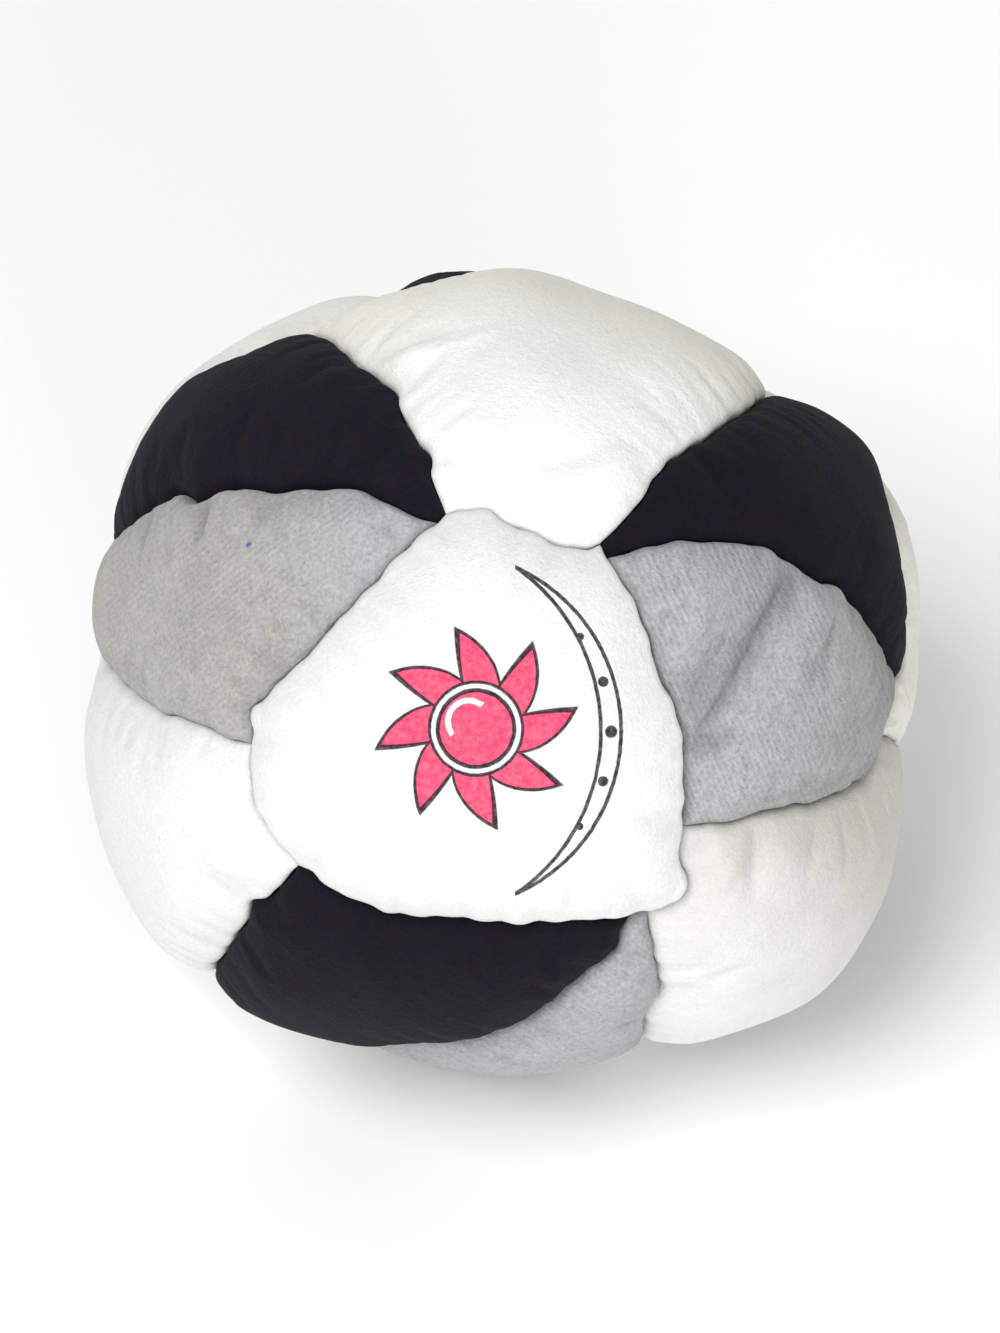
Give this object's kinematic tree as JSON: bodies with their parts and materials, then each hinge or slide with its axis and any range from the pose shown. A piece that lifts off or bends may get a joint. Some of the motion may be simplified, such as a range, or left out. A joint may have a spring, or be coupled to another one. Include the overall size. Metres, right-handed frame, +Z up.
{
  "type": "footbag",
  "caption": "Hand-sewn footbag of white, grey and black synthetic suede panels over a loose pellet fill, slumped a little on a flat resting patch.",
  "frame": {"origin": "centre of the bag's bounding box, on the surface it rests on", "axes": "+Z up out of the resting patch; the white panel that faces the picture looks towards -Y and up, at an elevation of about 47 degrees; +X is the picture's right"},
  "size_m": [0.0566, 0.0554, 0.0533],
  "materials": {
    "white_suede": "white synthetic suede with a fine short nap",
    "grey_suede": "heather grey synthetic suede, finely mottled",
    "black_suede": "black synthetic suede with a little lint",
    "sewing_thread": "matte bonded sewing thread",
    "plastic_pellets": "small rounded plastic pellets, packed"
  },
  "bodies": {
    "root": {"white_panel_front": "white_suede", "white_panel_top": "white_suede", "white_panel_left": "white_suede", "white_panel_right": "white_suede", "white_panel_back_left": "white_suede", "white_panel_back_right": "white_suede", "white_panel_bottom": "white_suede", "white_panel_back_low": "white_suede", "grey_panel_upper_left": "grey_suede", "grey_panel_upper_right": "grey_suede", "grey_panel_front_low": "grey_suede", "grey_panel_lower_right": "grey_suede", "grey_panel_lower_left": "grey_suede", "grey_panel_back": "grey_suede", "black_panel_upper_left": "black_suede", "black_panel_upper_right": "black_suede", "black_panel_front_low": "black_suede", "black_panel_lower_right": "black_suede", "black_panel_lower_left": "black_suede", "black_panel_back": "black_suede", "square_seam_thread_upper_left": "sewing_thread", "square_seam_thread_upper_right": "sewing_thread", "square_seam_thread_front_low": "sewing_thread", "square_seam_thread_lower_right": "sewing_thread", "square_seam_thread_lower_left": "sewing_thread", "square_seam_thread_back": "sewing_thread", "split_seam_thread_upper_left": "sewing_thread", "split_seam_thread_upper_right": "sewing_thread", "split_seam_thread_front_low": "sewing_thread", "split_seam_thread_lower_right": "sewing_thread", "split_seam_thread_lower_left": "sewing_thread", "split_seam_thread_back": "sewing_thread", "short_seam_thread_front_to_top": "sewing_thread", "short_seam_thread_front_to_left": "sewing_thread", "short_seam_thread_front_to_right": "sewing_thread", "short_seam_thread_left_to_back_left": "sewing_thread", "short_seam_thread_top_to_back_left": "sewing_thread", "short_seam_thread_right_to_back_right": "sewing_thread", "short_seam_thread_top_to_back_right": "sewing_thread", "short_seam_thread_right_to_bottom": "sewing_thread", "short_seam_thread_left_to_bottom": "sewing_thread", "short_seam_thread_bottom_to_back_low": "sewing_thread", "short_seam_thread_back_right_to_back_low": "sewing_thread", "short_seam_thread_back_left_to_back_low": "sewing_thread", "pellet_fill": "plastic_pellets"}
  },
  "joints": []
}
